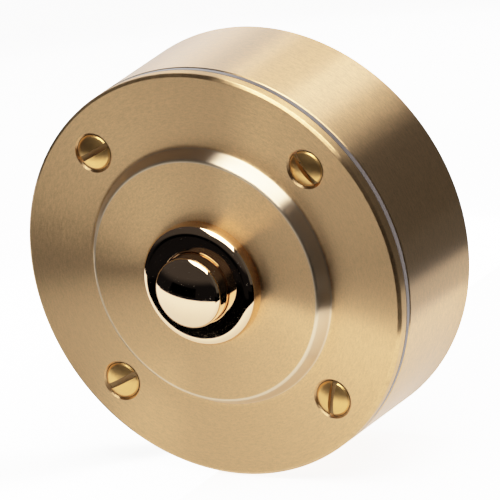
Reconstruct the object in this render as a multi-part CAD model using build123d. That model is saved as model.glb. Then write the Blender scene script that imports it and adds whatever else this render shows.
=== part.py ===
"""Round surface-mounted bell push: a turned brass plate and drum with a sprung, domed button.

The pieces are drawn on a bench axis: it runs from the wall (0) out to the front, with X to the
right and Y up as seen from the front. TO_WALL then turns the bench axis into the wall's frame,
where the front looks along -Y, +Z is up and the origin is the centre of the back face.
"""
import math
import os

from build123d import *

# Drum, plate and gasket
body_diameter = 80.0
housing_depth = 23.8
housing_wall = 3.0
back_wall = 3.0
housing_front_chamfer = 0.3
housing_back_round = 0.6
gasket_thickness = 1.0
gasket_land = 0.3
plate_thickness = 2.6
plate_edge_round = 0.6
plate_rim_width = 14.6
plateau_height = 3.0
plateau_slope_run = 1.6
plateau_foot_round = 0.7
plateau_edge_round = 0.15

# Cover screws and their pillars
screw_edge_distance = 7.7
screw_first_angle = 45.0
screw_thread_diameter = 4.0
screw_length = 12.0
screw_tip_chamfer = 0.5
screw_head_diameter = 7.2
screw_head_raise = 1.1
screw_slot_width = 1.1
screw_slot_depth = 1.3
screw_slot_angles = (-56.5, 28.8, 26.4, 76.8)
countersink_margin = 0.35
pillar_diameter = 10.0
pillar_hole_spare = 3.0

# Wall fixing and cable entry
wall_hole_spacing = 44.0
wall_hole_diameter = 4.5
cable_entry_drop = 20.0
cable_hole_diameter = 6.0
grommet_neck_diameter = 10.0
grommet_lip_diameter = 13.2
grommet_lip_thickness = 1.2
grommet_lip_round = 0.4

# Bezel and its barrel
barrel_diameter = 20.0
barrel_length = 16.0
barrel_wall = 1.2
barrel_chamfer = 0.5
bezel_overhang = 2.0
bezel_height = 3.4
bezel_round = 1.75
bezel_seal_thickness = 0.8
bezel_seal_inset = 0.5
base_seat_depth = 11.0
base_ledge = 0.6
button_shoulder = 1.2
bore_edge_round = 0.15
guide_length = 4.4

# Washer and nut behind the plate
washer_band = 3.5
washer_thickness = 0.8
washer_tooth_count = 14
washer_tooth_depth = 1.2
washer_tooth_gap = 1.8
nut_band = 2.0
nut_thickness = 3.5

# Button and what rides on its stem
button_travel = 2.0
button_stand = 3.4
button_dome_height = 2.2
button_edge_round = 1.4
button_seal_inset = 1.2
button_seal_section = 0.9
collar_thickness = 1.5
stem_diameter = 5.0
spigot_diameter = 3.6
bush_neck_diameter = 5.6
bush_flange_diameter = 8.8
bush_flange_thickness = 0.8
contact_disc_thickness = 0.8
contact_disc_round = 0.2
stem_washer_diameter = 6.6
stem_washer_thickness = 0.6
clip_diameter = 6.0
clip_thickness = 0.6
clip_groove_depth = 0.45
clip_mouth = 1.8
stem_tip = 0.5

# Return spring
spring_wire = 0.8
spring_turns = 4.0

# Switch base and terminals
base_thickness = 3.0
base_proud = 2.8
snap_ring_thickness = 1.0
snap_ring_width = 1.5
snap_ring_bite = 0.4
snap_ring_mouth = 5.0
strip_thickness = 0.8
strip_width = 4.0
strip_bend = 0.7
terminal_tab_gap = 2.4
terminal_thread_diameter = 2.5
terminal_screw_length = 5.5
terminal_head_diameter = 4.4
terminal_head_height = 1.8
terminal_head_round = 0.35
terminal_slot_width = 0.8
terminal_slot_depth = 0.9
terminal_clamp_side = 4.4
terminal_clamp_thickness = 0.8
terminal_clamp_lip = 0.7
barrier_thickness = 0.8
barrier_height = 3.0
barrier_inset = 2.0

# Clearances
thread_gap = 0.05
seat_gap = 0.02
screw_hole_gap = 0.25
barrel_gap = 0.15
button_gap = 0.07
collar_gap = 0.3
seal_gap = 0.05
spring_gap = 0.5
disc_gap = 0.6
contact_gap = 0.05
pad_gap = 0.6
strip_gap = 0.2
slot_gap = 0.1
terminal_gap = 0.15
block_gap = 0.4
base_gap = 0.1
bush_gap = 0.05
well_gap = 0.4
ring_gap = 0.05

# Turn from the bench axis to the wall's frame
bench_tilt_angle = 90.0

# Radii and levels that follow from the sizes above
body_r = body_diameter / 2
screw_circle_r = body_r - screw_edge_distance
thread_r = screw_thread_diameter / 2
screw_hole_r = thread_r + screw_hole_gap
head_r = screw_head_diameter / 2
countersink_r = head_r + countersink_margin
pillar_r = pillar_diameter / 2

gasket_back = housing_depth
plate_back = gasket_back + gasket_thickness
plate_face = plate_back + plate_thickness
plateau_face = plate_face + plateau_height
plateau_foot_r = body_r - plate_rim_width
plateau_r = plateau_foot_r - plateau_slope_run

barrel_r = barrel_diameter / 2
barrel_end = plateau_face - barrel_length
bezel_r = barrel_r + bezel_overhang
bezel_face = plateau_face + bezel_height
base_seat_r = barrel_r - barrel_wall
chamber_r = base_seat_r - base_ledge
bore_r = chamber_r - button_shoulder
shoulder = bezel_face - guide_length
base_front = plateau_face - base_seat_depth
base_back = base_front - base_thickness
block_back = barrel_end - base_proud

button_r = bore_r - button_gap
button_edge = bezel_face + button_stand
collar_back = shoulder - collar_thickness
collar_r = chamber_r - collar_gap
stem_r = stem_diameter / 2
spigot_r = spigot_diameter / 2
spring_r = chamber_r - spring_gap - spring_wire / 2
spring_bore_r = spring_r - spring_wire / 2

pad_top = base_front + strip_thickness
disc_back = pad_top + contact_gap + button_travel
disc_front = disc_back + contact_disc_thickness
bush_front = disc_front + bush_flange_thickness
stem_washer_back = disc_back - stem_washer_thickness
clip_back = stem_washer_back - clip_thickness
stem_end = clip_back - stem_tip
stem_washer_r = stem_washer_diameter / 2

snap_ring_r = base_seat_r + snap_ring_bite
snap_ring_bore_r = snap_ring_r - snap_ring_width
strip_outer = math.sqrt((spring_bore_r - strip_gap) ** 2 - (strip_width / 2) ** 2)
strip_inner = strip_outer - strip_thickness
terminal_thread_r = terminal_thread_diameter / 2
terminal_x = strip_inner - terminal_thread_r - terminal_gap
tab_back = block_back - strip_thickness
clamp_back = tab_back - terminal_clamp_thickness

TO_WALL = Rot(X=bench_tilt_angle)


def section(*outline):
    """Face in the half plane of a turned piece, from (radius, level) or (radius, level, round) corners."""
    corners = [Vector(corner[0], 0, corner[1]) for corner in outline]
    face = make_face(Polyline(*corners, close=True))
    for corner, place in zip(outline, corners):
        if len(corner) == 3:
            face = fillet(face.vertices().sort_by_distance(place)[0], corner[2])
    return face


def turned(*outline):
    """Solid of revolution about the bench axis."""
    return revolve(section(*outline), Axis.Z)


def ring(inner_r, outer_r, low, high):
    """Plain flat ring between two levels."""
    return turned((inner_r, low), (outer_r, low), (outer_r, high), (inner_r, high))


def disc(radius, low, high):
    """Plain round disc between two levels."""
    return turned((0, low), (radius, low), (radius, high), (0, high))


def dome(rim_r, rim_level, height):
    """Arc of a dome's section, from its crown on the axis to its rim."""
    sphere_r = (rim_r**2 + height**2) / (2 * height)
    centre = rim_level + height - sphere_r
    half_angle = math.atan2(rim_r, rim_level - centre) / 2
    middle = (sphere_r * math.sin(half_angle), 0, centre + sphere_r * math.cos(half_angle))
    return ThreePointArc((0, 0, rim_level + height), middle, (rim_r, 0, rim_level))


def block(x_low, x_high, width, low, high):
    """Box between two X places and two levels, centred on Y."""
    size = Box(x_high - x_low, width, high - low)
    return Pos((x_low + x_high) / 2, 0, (low + high) / 2) * size


def screw_places():
    """Centres of the four cover screws."""
    return PolarLocations(screw_circle_r, 4, start_angle=screw_first_angle, rotate=False).locations


def make_housing():
    """Drum with an integral back wall, four tapped pillars, wall holes and the cable entry."""
    inner_r = body_r - housing_wall
    drum = turned(
        (0, 0), (body_r, 0, housing_back_round), (body_r, housing_depth),
        (inner_r, housing_depth), (inner_r, back_wall), (0, back_wall),
    )
    rim = drum.edges().filter_by(GeomType.CIRCLE).group_by(Axis.Z)[-1].sort_by(SortBy.RADIUS)[-1]
    drum = chamfer(rim, housing_front_chamfer)
    inside = disc(body_r - housing_wall / 2, 0, housing_depth)
    pillar = disc(pillar_r, back_wall, housing_depth)
    hole_bottom = plate_face - screw_length - pillar_hole_spare
    tapped_hole = disc(thread_r + thread_gap, hole_bottom, housing_depth)
    for place in screw_places():
        drum += (place * pillar) & inside
    for place in screw_places():
        drum -= place * tapped_hole
    for side in (-1, 1):
        drum -= Pos(side * wall_hole_spacing / 2, 0, 0) * disc(wall_hole_diameter / 2, 0, back_wall)
    neck_r = grommet_neck_diameter / 2 + seal_gap
    lip_r = grommet_lip_diameter / 2 + 2 * seal_gap
    entry = disc(neck_r, 0, back_wall) + disc(lip_r, 0, grommet_lip_thickness + seal_gap)
    return drum - Pos(0, -cable_entry_drop, 0) * entry


def make_cable_grommet():
    """Rubber grommet whose outer lip lies in a recess of the back face."""
    hole_r = cable_hole_diameter / 2
    neck_r = grommet_neck_diameter / 2
    lip_r = grommet_lip_diameter / 2
    outer_lip = grommet_lip_thickness + seal_gap
    inner_lip = back_wall + grommet_lip_thickness
    grommet = turned(
        (hole_r, seal_gap), (lip_r, seal_gap), (lip_r, outer_lip), (neck_r, outer_lip), (neck_r, back_wall),
        (lip_r, back_wall), (lip_r, inner_lip, grommet_lip_round), (hole_r, inner_lip),
    )
    return Pos(0, -cable_entry_drop, 0) * grommet


def make_cover_gasket():
    """Flat ring between drum and plate that also covers the pillars."""
    gasket = ring(screw_circle_r - pillar_r - gasket_land, body_r, gasket_back, plate_back)
    for place in screw_places():
        gasket -= place * disc(screw_hole_r, gasket_back, plate_back)
    return gasket


def make_front_plate():
    """Turned plate: flat rim, sloping step with a soft foot, raised centre, five holes."""
    hole_r = barrel_r + barrel_gap
    plate = turned(
        (hole_r, plate_back), (body_r, plate_back), (body_r, plate_face, plate_edge_round),
        (plateau_foot_r, plate_face, plateau_foot_round), (plateau_r, plateau_face, plateau_edge_round),
        (hole_r, plateau_face),
    )
    cone_end = plate_face - (countersink_r - screw_hole_r)
    hole = turned(
        (0, plate_back), (screw_hole_r, plate_back), (screw_hole_r, cone_end),
        (countersink_r, plate_face), (0, plate_face),
    )
    for place in screw_places():
        plate -= place * hole
    return plate


def make_cover_screws():
    """Four raised countersunk screws, each with its slot turned as it was left."""
    edge = plate_face - countersink_margin + seat_gap
    neck = edge - (head_r - thread_r)
    crown = edge + screw_head_raise
    tip = edge - screw_length
    outline = Polyline(
        (0, 0, crown), (0, 0, tip), (thread_r - screw_tip_chamfer, 0, tip),
        (thread_r, 0, tip + screw_tip_chamfer), (thread_r, 0, neck), (head_r, 0, edge),
    )
    blank = revolve(make_face(outline + dome(head_r, edge, screw_head_raise)), Axis.Z)
    slot = block(-screw_head_diameter, screw_head_diameter, screw_slot_width,
                 crown - screw_slot_depth, crown + screw_slot_depth)
    screws = [
        place * (blank - Rot(Z=angle) * slot)
        for place, angle in zip(screw_places(), screw_slot_angles)
    ]
    return Compound(screws)


def make_button_bezel():
    """Flange and barrel in one turned piece, bored for the button, the spring and the switch base."""
    seal_in = barrel_r + bezel_seal_inset - seal_gap
    seal_out = bezel_r - bezel_seal_inset + seal_gap
    seal_top = plateau_face + bezel_seal_thickness
    groove_low = base_back - snap_ring_thickness - ring_gap
    groove_high = base_back + ring_gap
    groove_r = snap_ring_r + ring_gap
    return turned(
        (bore_r, bezel_face, bore_edge_round), (bezel_r, bezel_face, bezel_round),
        (bezel_r, plateau_face), (seal_out, plateau_face), (seal_out, seal_top), (seal_in, seal_top),
        (seal_in, plateau_face), (barrel_r, plateau_face), (barrel_r, barrel_end + barrel_chamfer),
        (barrel_r - barrel_chamfer, barrel_end), (base_seat_r, barrel_end), (base_seat_r, groove_low),
        (groove_r, groove_low), (groove_r, groove_high), (base_seat_r, groove_high),
        (base_seat_r, base_front), (chamber_r, base_front), (chamber_r, shoulder), (bore_r, shoulder),
    )


def make_bezel_seal():
    """Flat ring that fills the groove under the flange."""
    return ring(barrel_r + bezel_seal_inset, bezel_r - bezel_seal_inset,
                plateau_face, plateau_face + bezel_seal_thickness)


def make_lock_washer():
    """Washer with inward teeth, between plate and nut."""
    inner_r = barrel_r + barrel_gap
    washer = ring(inner_r, barrel_r + washer_band, plate_back - washer_thickness, plate_back)
    notch = block(0, inner_r + washer_tooth_depth, washer_tooth_gap,
                  plate_back - washer_thickness, plate_back)
    for index in range(washer_tooth_count):
        washer -= Rot(Z=360 * index / washer_tooth_count) * notch
    return washer


def make_lock_nut():
    """Hexagon nut with its corners turned down on both faces."""
    high = plate_back - washer_thickness
    low = high - nut_thickness
    flat_r = barrel_r + nut_band
    corner_r = flat_r / math.cos(math.radians(30))
    bevel = (corner_r - flat_r) / 2
    prism = extrude(RegularPolygon(flat_r, 6, major_radius=False), nut_thickness)
    envelope = turned(
        (0, low), (flat_r, low), (corner_r, low + bevel), (corner_r, high - bevel), (flat_r, high), (0, high),
    )
    return (Pos(0, 0, low) * prism & envelope) - disc(barrel_r + thread_gap, low, high)


def make_button_cap():
    """Domed button with its seal groove, collar and stepped stem in one turned piece."""
    seal_level = bezel_face - button_seal_inset
    groove_half = button_seal_section / 2 + seal_gap
    groove_r = button_r - button_seal_section
    clip_r = spigot_r - clip_groove_depth
    side = Polyline(
        (button_r, 0, button_edge), (button_r, 0, seal_level + groove_half),
        (groove_r, 0, seal_level + groove_half), (groove_r, 0, seal_level - groove_half),
        (button_r, 0, seal_level - groove_half), (button_r, 0, shoulder), (collar_r, 0, shoulder),
        (collar_r, 0, collar_back), (stem_r, 0, collar_back), (stem_r, 0, bush_front),
        (spigot_r, 0, bush_front), (spigot_r, 0, stem_washer_back), (clip_r, 0, stem_washer_back),
        (clip_r, 0, clip_back), (spigot_r, 0, clip_back), (spigot_r, 0, stem_end), (0, 0, stem_end),
        (0, 0, button_edge + button_dome_height),
    )
    face = make_face(side + dome(button_r, button_edge, button_dome_height))
    edge = face.vertices().sort_by_distance((button_r, 0, button_edge))[0]
    return revolve(fillet(edge, button_edge_round), Axis.Z)


def make_plunger_seal():
    """O-ring in the button's groove."""
    section_r = button_seal_section / 2
    middle_r = button_r - section_r
    return Pos(0, 0, bezel_face - button_seal_inset) * Torus(middle_r, section_r - seal_gap)


def make_return_spring():
    """Compression spring with ground ends, from the switch base to the collar."""
    free = collar_back - base_front
    pitch = free / spring_turns
    path = Helix(pitch, free, spring_r, center=(0, 0, base_front))
    wire = Plane(origin=path @ 0, z_dir=path % 0) * Circle(spring_wire / 2)
    coil = sweep(wire, path=path, is_frenet=True)
    return coil & disc(chamber_r, base_front, collar_back)


def make_insulating_bush():
    """Flanged bush on the stem's spigot, whose neck centres the contact disc."""
    inner_r = spigot_r + bush_gap
    neck_r = bush_neck_diameter / 2
    flange_r = bush_flange_diameter / 2
    return turned(
        (inner_r, disc_back), (neck_r, disc_back), (neck_r, disc_front), (flange_r, disc_front),
        (flange_r, bush_front), (inner_r, bush_front),
    )


def make_contact_disc():
    """Moving contact: a flat disc with a rounded rim."""
    radius = spring_bore_r - disc_gap
    inner_r = bush_neck_diameter / 2 + bush_gap
    return turned(
        (inner_r, disc_back), (radius, disc_back, contact_disc_round),
        (radius, disc_front, contact_disc_round), (inner_r, disc_front),
    )


def make_insulating_washer():
    """Washer that holds the contact disc on its bush from behind."""
    return ring(spigot_r + bush_gap, stem_washer_r, stem_washer_back, disc_back)


def make_retaining_clip():
    """Open clip in the groove near the stem's end."""
    inner_r = spigot_r - clip_groove_depth + bush_gap
    clip = ring(inner_r, clip_diameter / 2, clip_back, stem_washer_back)
    return clip - block(0, clip_diameter, clip_mouth, clip_back, stem_washer_back)


def make_switch_base():
    """Moulded base: a disc in the barrel, a terminal block behind it and a barrier between terminals."""
    block_r = snap_ring_bore_r - block_gap
    base = disc(base_seat_r - base_gap, base_back, base_front) + disc(block_r, block_back, base_back)
    base += block(-barrier_thickness / 2, barrier_thickness / 2, 2 * (block_r - barrier_inset),
                  block_back - barrier_height, block_back)
    base -= disc(stem_washer_r + collar_gap, stem_end - button_travel - well_gap, base_front)
    leg = block(strip_inner - slot_gap, strip_outer + slot_gap,
                strip_width + 2 * slot_gap, block_back, base_front)
    hole_end = clamp_back + terminal_screw_length + well_gap
    hole = Pos(terminal_x, 0, 0) * disc(terminal_thread_r + thread_gap, block_back, hole_end)
    for turn in (0, 180):
        base -= Rot(Z=turn) * (leg + hole)
    return base


def make_contact():
    """Right-hand contact: pad over the base, leg through it and terminal tab behind it."""
    tab_inner = terminal_tab_gap / 2
    pad_inner = stem_washer_r + pad_gap
    profile = section(
        (pad_inner, pad_top), (strip_outer, pad_top, strip_bend), (strip_outer, tab_back, strip_bend),
        (tab_inner, tab_back), (tab_inner, block_back), (strip_inner, block_back),
        (strip_inner, base_front), (pad_inner, base_front),
    )
    strip = extrude(profile, strip_width / 2, both=True)
    return strip - Pos(terminal_x, 0, 0) * disc(terminal_thread_r + slot_gap, tab_back, block_back)


def make_terminal_clamps():
    """Two square clamp plates with turned lips that keep the wire under the screw."""
    half = terminal_clamp_side / 2
    plate = block(-half, half, terminal_clamp_side, clamp_back, tab_back)
    lip = block(half, half + strip_thickness, strip_width, clamp_back - terminal_clamp_lip, tab_back)
    clamp = plate + lip - disc(terminal_thread_r + slot_gap, clamp_back, tab_back)
    return Compound([Rot(Z=turn) * Pos(terminal_x, 0, 0) * clamp for turn in (0, 180)])


def make_terminal_screws():
    """Two slotted cheese-head screws, heads towards the wall."""
    head_back = clamp_back - terminal_head_height
    terminal_head_r = terminal_head_diameter / 2
    screw = turned(
        (0, head_back), (terminal_head_r, head_back, terminal_head_round),
        (terminal_head_r, clamp_back), (terminal_thread_r, clamp_back),
        (terminal_thread_r, clamp_back + terminal_screw_length), (0, clamp_back + terminal_screw_length),
    )
    screw -= block(-terminal_head_diameter, terminal_head_diameter, terminal_slot_width,
                   head_back, head_back + terminal_slot_depth)
    return Compound([Rot(Z=turn) * Pos(terminal_x, 0, 0) * screw for turn in (0, 180)])


def make_snap_ring():
    """Open spring ring in the barrel's groove, behind the switch base."""
    low = base_back - snap_ring_thickness
    whole = ring(snap_ring_bore_r, snap_ring_r, low, base_back)
    mouth = Rot(Z=-90) * block(0, body_r, snap_ring_mouth, low, base_back)
    return whole - mouth


contact = make_contact()
pieces = {
    "housing": make_housing(),
    "cable_grommet": make_cable_grommet(),
    "cover_gasket": make_cover_gasket(),
    "front_plate": make_front_plate(),
    "cover_screws": make_cover_screws(),
    "button_bezel": make_button_bezel(),
    "bezel_seal": make_bezel_seal(),
    "lock_washer": make_lock_washer(),
    "lock_nut": make_lock_nut(),
    "button_cap": make_button_cap(),
    "plunger_seal": make_plunger_seal(),
    "return_spring": make_return_spring(),
    "insulating_bush": make_insulating_bush(),
    "contact_disc": make_contact_disc(),
    "insulating_washer": make_insulating_washer(),
    "retaining_clip": make_retaining_clip(),
    "switch_base": make_switch_base(),
    "contact_right": contact,
    "contact_left": Rot(Z=180) * contact,
    "terminal_clamps": make_terminal_clamps(),
    "terminal_screws": make_terminal_screws(),
    "snap_ring": make_snap_ring(),
}

os.makedirs("parts", exist_ok=True)
for name, piece in pieces.items():
    export_step(TO_WALL * piece, f"parts/{name}.step")
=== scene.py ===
"""Looks of a round, surface-mounted brass bell push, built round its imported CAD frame.

Every size in the classes is in millimetres on the bench axis: radius from the axis, and level from
the wall (0) out to the front. Objects are in metres in the CAD frame, and the front looks along -Y.
"""
import logging
import math
from dataclasses import dataclass, field
from enum import Enum
from typing import Union

import bmesh
import bpy
from mathutils import Matrix, Vector


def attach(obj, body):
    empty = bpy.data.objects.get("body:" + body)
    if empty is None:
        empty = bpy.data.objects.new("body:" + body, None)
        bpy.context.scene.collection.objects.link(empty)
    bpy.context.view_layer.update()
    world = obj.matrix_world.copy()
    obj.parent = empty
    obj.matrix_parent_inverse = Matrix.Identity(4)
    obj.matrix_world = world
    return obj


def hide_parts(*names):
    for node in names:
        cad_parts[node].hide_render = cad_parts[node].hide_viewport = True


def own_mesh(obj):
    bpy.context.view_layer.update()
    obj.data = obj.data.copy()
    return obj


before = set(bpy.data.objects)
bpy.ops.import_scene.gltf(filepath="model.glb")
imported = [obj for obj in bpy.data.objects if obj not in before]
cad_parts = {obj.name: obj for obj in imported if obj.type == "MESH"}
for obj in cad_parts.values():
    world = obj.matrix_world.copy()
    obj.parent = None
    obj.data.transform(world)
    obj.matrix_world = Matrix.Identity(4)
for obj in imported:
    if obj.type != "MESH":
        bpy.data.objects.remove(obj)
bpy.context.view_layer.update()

LOG = logging.getLogger("bell_push")
MM = 0.001
# Lays the bench axis, local Z, along the CAD frame's -Y.
TO_WALL = Matrix.Rotation(math.radians(90), 4, "X")

Piece = bpy.types.Object
Mesh = bpy.types.Mesh
Material = bpy.types.Material
Colour = tuple[float, float, float]
Span = tuple[float, float]
Outline = list[Span]
Numbers = tuple[float, ...]
Corners = tuple[tuple[float, float, float], ...]
Settings = dict[str, object]
Inputs = dict[Union[str, int], object]

BLACK: Colour = (0.0, 0.0, 0.0)
WHITE: Colour = (1.0, 1.0, 1.0)

# Sizes that several pieces share.
RADIUS = 39.99
DRUM_DEPTH = 23.8
PLATE_BACK = 24.8
PLATEAU = 30.4
SCREW_CIRCLE = 32.3
SCREW_HOLE_RADIUS = 2.25
SHOULDER = 29.4
BASE_FRONT = 19.4
COLLAR_BACK = 27.9

# How far a cutter or a joined foot reaches past the surface that it meets.
PAST = 0.5
# A point this share of a round's radius off each arc keeps the flats beside it flat.
ARC_LEAD = 0.1
# Radius below which a point is on the axis, and the least that a finish divides by.
ON_AXIS = 1e-6
OFF_AXIS = 0.01

# The round table of light below the object, in the picture's frame.
TABLE_MIDDLE = (-2.0, -8.0)
TABLE_LEVEL = -40.5
TABLE_STEPS = 64
TABLE_GLOW = 2.3
TABLE_MIDDLE_SHARE = 0.68


class TurnAxis(Enum):
    """Which local axis of an object a turned finish runs round."""

    WALL = "wall"
    BENCH = "bench"


class SeenBy(Enum):
    """Which pieces a light panel reaches."""

    ALL = "all"
    ALL_BUT_BEZEL = "all_but_bezel"
    SATIN = "satin"
    POLISHED = "polished"
    BUTTON = "button"


class Body(Enum):
    """The CAD bodies that pieces ride on."""

    FIXED = "body"
    PLUNGER = "plunger"


class Joining(Enum):
    """What a closed solid does to a piece."""

    CUT = "DIFFERENCE"
    ADD = "UNION"


class Signal:
    """A shader socket that takes part in Python arithmetic."""

    def __init__(self, graph: "Graph", socket: bpy.types.NodeSocket) -> None:
        """Keep the socket and the graph it belongs to."""
        self.graph = graph
        self.socket = socket

    def _join(self, operation: str, *terms: "Term") -> "Signal":
        """Add one Math node, or one Vector Math node where a term is a vector.

        Args:
            operation: the node's operation.
            terms: numbers or signals, in socket order.
        Returns:
            The node's result.
        """
        vector = any(isinstance(term, Signal) and term.socket.type == "VECTOR" for term in terms)
        kind = "ShaderNodeVectorMath" if vector else "ShaderNodeMath"
        if vector:
            terms = tuple((term,) * 3 if isinstance(term, (int, float)) else term for term in terms)
        return self.graph.signal(kind, {"operation": operation}, dict(enumerate(terms)))

    def __add__(self, other: "Term") -> "Signal":
        """Sum."""
        return self._join("ADD", self, other)

    __radd__ = __add__

    def __sub__(self, other: "Term") -> "Signal":
        """Difference."""
        return self._join("SUBTRACT", self, other)

    def __rsub__(self, other: "Term") -> "Signal":
        """Difference with a number in front."""
        return self._join("SUBTRACT", other, self)

    def __mul__(self, other: "Term") -> "Signal":
        """Product."""
        return self._join("MULTIPLY", self, other)

    __rmul__ = __mul__

    def __truediv__(self, other: "Term") -> "Signal":
        """Quotient."""
        return self._join("DIVIDE", self, other)

    def __rtruediv__(self, other: "Term") -> "Signal":
        """Quotient with a number in front."""
        return self._join("DIVIDE", other, self)

    def __pow__(self, other: "Term") -> "Signal":
        """Power."""
        return self._join("POWER", self, other)

    def __rpow__(self, other: "Term") -> "Signal":
        """Power of a number."""
        return self._join("POWER", other, self)

    def __neg__(self) -> "Signal":
        """Opposite."""
        return self._join("MULTIPLY", self, -1.0)

    def at_most(self, other: "Term") -> "Signal":
        """The smaller of two."""
        return self._join("MINIMUM", self, other)

    def at_least(self, other: "Term") -> "Signal":
        """The larger of two."""
        return self._join("MAXIMUM", self, other)

    def ramp(self, low: float, high: float) -> "Signal":
        """Rise smoothly from 0 at low to 1 at high, or fall where low is above high.

        Args:
            low: value that gives 0.
            high: value that gives 1.
        Returns:
            The smooth step.
        """
        ends = (low, high, 0.0, 1.0) if low < high else (high, low, 1.0, 0.0)
        names = ("From Min", "From Max", "To Min", "To Max")
        inputs = {"Value": self, **dict(zip(names, ends))}
        return self.graph.signal("ShaderNodeMapRange", {"interpolation_type": "SMOOTHSTEP"}, inputs)


Term = Union[int, float, Signal, Colour]


@dataclass(frozen=True)
class Turned:
    """Radius and level on a turned surface in millimetres, and its angle as a point on a circle."""

    radius: Signal
    level: Signal
    cosine: Signal
    sine: Signal


class Graph:
    """Node tree of a material or of the room, and the one way in which nodes are added to it."""

    def __init__(self, owner: Union[Material, bpy.types.World]) -> None:
        """Start with an empty tree.

        Args:
            owner: what the tree belongs to.
        """
        owner.use_nodes = True
        self.owner = owner
        self.tree = owner.node_tree
        self.tree.nodes.clear()

    def node(self, kind: str, settings: Settings, inputs: Inputs) -> bpy.types.Node:
        """Add a node.

        Args:
            kind: the node's type.
            settings: its properties, set first.
            inputs: values or links of its sockets, by name or place.
        Returns:
            The node.
        """
        node = self.tree.nodes.new(kind)
        for key, value in settings.items():
            setattr(node, key, value)
        for key, value in inputs.items():
            socket = node.inputs[key]
            if isinstance(value, Signal):
                self.tree.links.new(value.socket, socket)
            elif isinstance(value, tuple) and socket.type == "RGBA":
                socket.default_value = (*value, 1.0)
            else:
                socket.default_value = value
        return node

    def signal(
        self, kind: str, settings: Settings, inputs: Inputs, output: Union[str, int] = 0
    ) -> Signal:
        """Add a node as node() does, and take one of its outputs by name or place."""
        return Signal(self, self.node(kind, settings, inputs).outputs[output])

    def place(self) -> Signal:
        """The object's own coordinates in millimetres."""
        return self.signal("ShaderNodeTexCoord", {}, {}, "Object") * (1.0 / MM)

    def vector(self, x: Term, y: Term, z: Term) -> Signal:
        """Three values as one vector."""
        return self.signal("ShaderNodeCombineXYZ", {}, {0: x, 1: y, 2: z})

    def turned(self, axis: TurnAxis) -> Turned:
        """Coordinates round the turning axis.

        Args:
            axis: the local axis that the piece was turned on.
        Returns:
            Radius and level in millimetres, and the angle's cosine and sine.
        """
        split = self.node("ShaderNodeSeparateXYZ", {}, {0: self.place()})
        x, y, z = (Signal(self, output) for output in split.outputs)
        up, level = (y, z) if axis is TurnAxis.BENCH else (z, -y)
        radius = (x * x + up * up) ** 0.5
        off_axis = radius.at_least(OFF_AXIS)
        return Turned(radius, level, x / off_axis, up / off_axis)

    def noise(
        self, vector: Signal, scale: float, detail: float = 2.0, roughness: float = 0.5
    ) -> Signal:
        """Noise from 0 to 1 about 0.5, with its scale in cycles per unit of the vector."""
        inputs = {"Vector": vector, "Scale": scale, "Detail": detail, "Roughness": roughness}
        return self.signal("ShaderNodeTexNoise", {"noise_dimensions": "3D"}, inputs)

    def marks(self, turned: Turned, across: float, along: float, detail: float = 2.0) -> Signal:
        """Tool marks round a turned piece: so many to a millimetre, broken along the circle."""
        lane = ((turned.radius + turned.level) * across, turned.cosine * along, turned.sine * along)
        return self.noise(self.vector(*lane), 1.0, detail)

    @staticmethod
    def swing(noises: tuple[Signal, ...], weights: Numbers) -> Signal:
        """Sum of noises about 0, each with its weight."""
        first, *rest = [(noise - 0.5) * weight for noise, weight in zip(noises, weights)]
        return sum(rest, first)

    def mix(self, factor: Term, low: Term, high: Term) -> Signal:
        """Colour from low, where the factor is 0, to high, where it is 1."""
        inputs = {"Factor": factor, 6: low, 7: high}
        return self.signal("ShaderNodeMix", {"data_type": "RGBA"}, inputs, 2)

    def bump(self, height: Signal, depth: float) -> Signal:
        """Normal from a height, of which 1 is the depth in metres."""
        inputs = {"Strength": 1.0, "Distance": depth, "Height": height}
        return self.signal("ShaderNodeBump", {}, inputs, "Normal")

    def surface(self, inputs: Inputs) -> Material:
        """Finish the material with one Principled shader.

        Args:
            inputs: the shader's sockets.
        Returns:
            The material.
        """
        shader = self.signal("ShaderNodeBsdfPrincipled", {}, inputs)
        self.node("ShaderNodeOutputMaterial", {}, {"Surface": shader})
        return self.owner


def shade(colour: Colour, factor: float, lift: float = 0.0) -> Colour:
    """A darker or lighter tone of a colour."""
    return tuple(min(1.0, channel * factor + lift) for channel in colour)


@dataclass(frozen=True)
class Finish:
    """What all finishes have."""

    name: str

    def graph(self) -> Graph:
        """Empty node tree of the finish's material."""
        return Graph(bpy.data.materials.new(self.name))


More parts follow.
